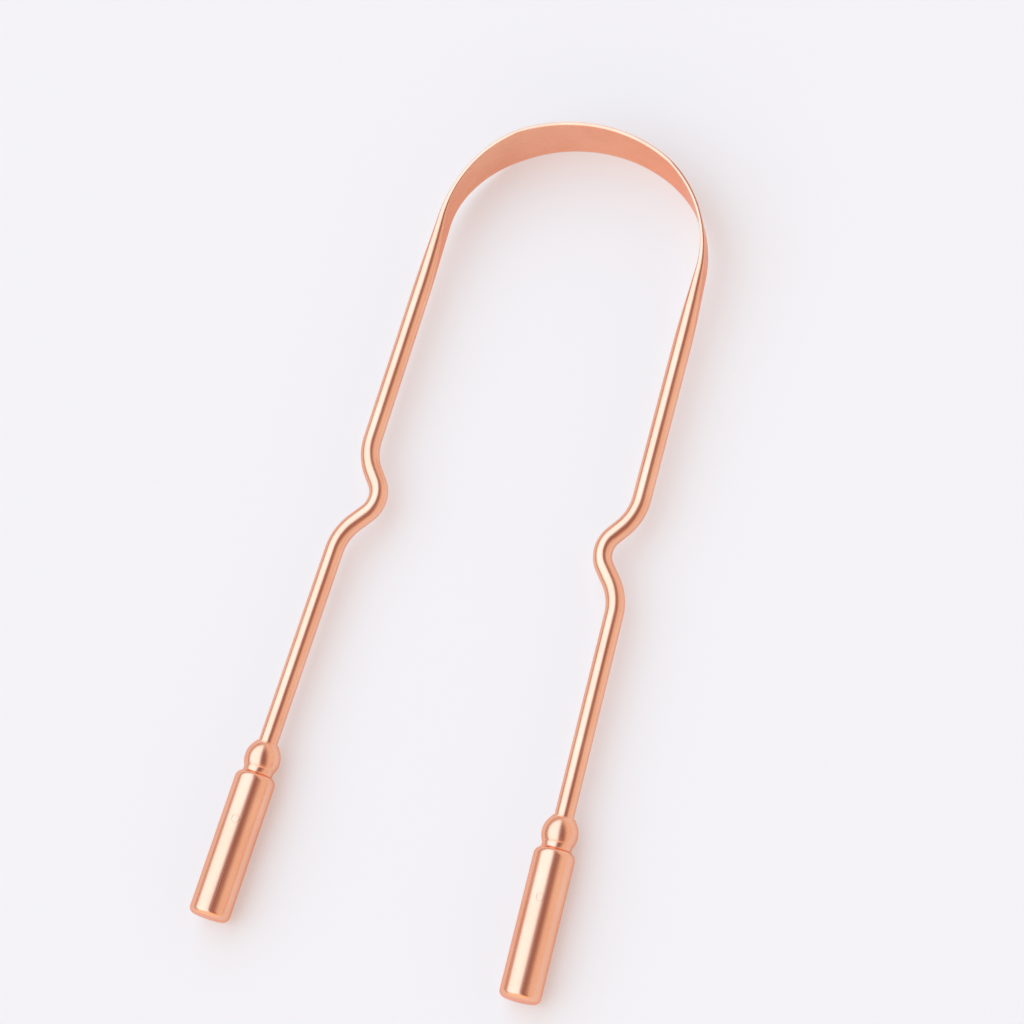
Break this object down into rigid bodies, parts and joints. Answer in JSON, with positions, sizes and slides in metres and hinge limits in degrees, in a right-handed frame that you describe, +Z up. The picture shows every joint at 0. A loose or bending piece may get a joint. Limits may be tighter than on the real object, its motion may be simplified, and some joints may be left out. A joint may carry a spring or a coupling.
{
  "type": "tongue scraper",
  "caption": "U-shaped hand scraper bent from copper rod: a thin flat band forms the arch, and two kinked arms end in turned grips with round beads.",
  "frame": {"origin": "centre of the bounding box's underside: the tool lies flat and the scraping band stands on its lower edge at Z = 0", "axes": "+Y towards the arch, +X across the two arms to the right, +Z up through the width of the band; the middle plane of the rod is at Z = 5.1 mm"},
  "size_m": [0.0564, 0.1388, 0.0102],
  "materials": {
    "copper": "satin polished copper",
    "pin_copper": "copper, filed flush"
  },
  "bodies": {
    "root": {"bow": "copper", "left_handle": "copper", "right_handle": "copper", "left_pin": "pin_copper", "right_pin": "pin_copper"}
  },
  "joints": []
}
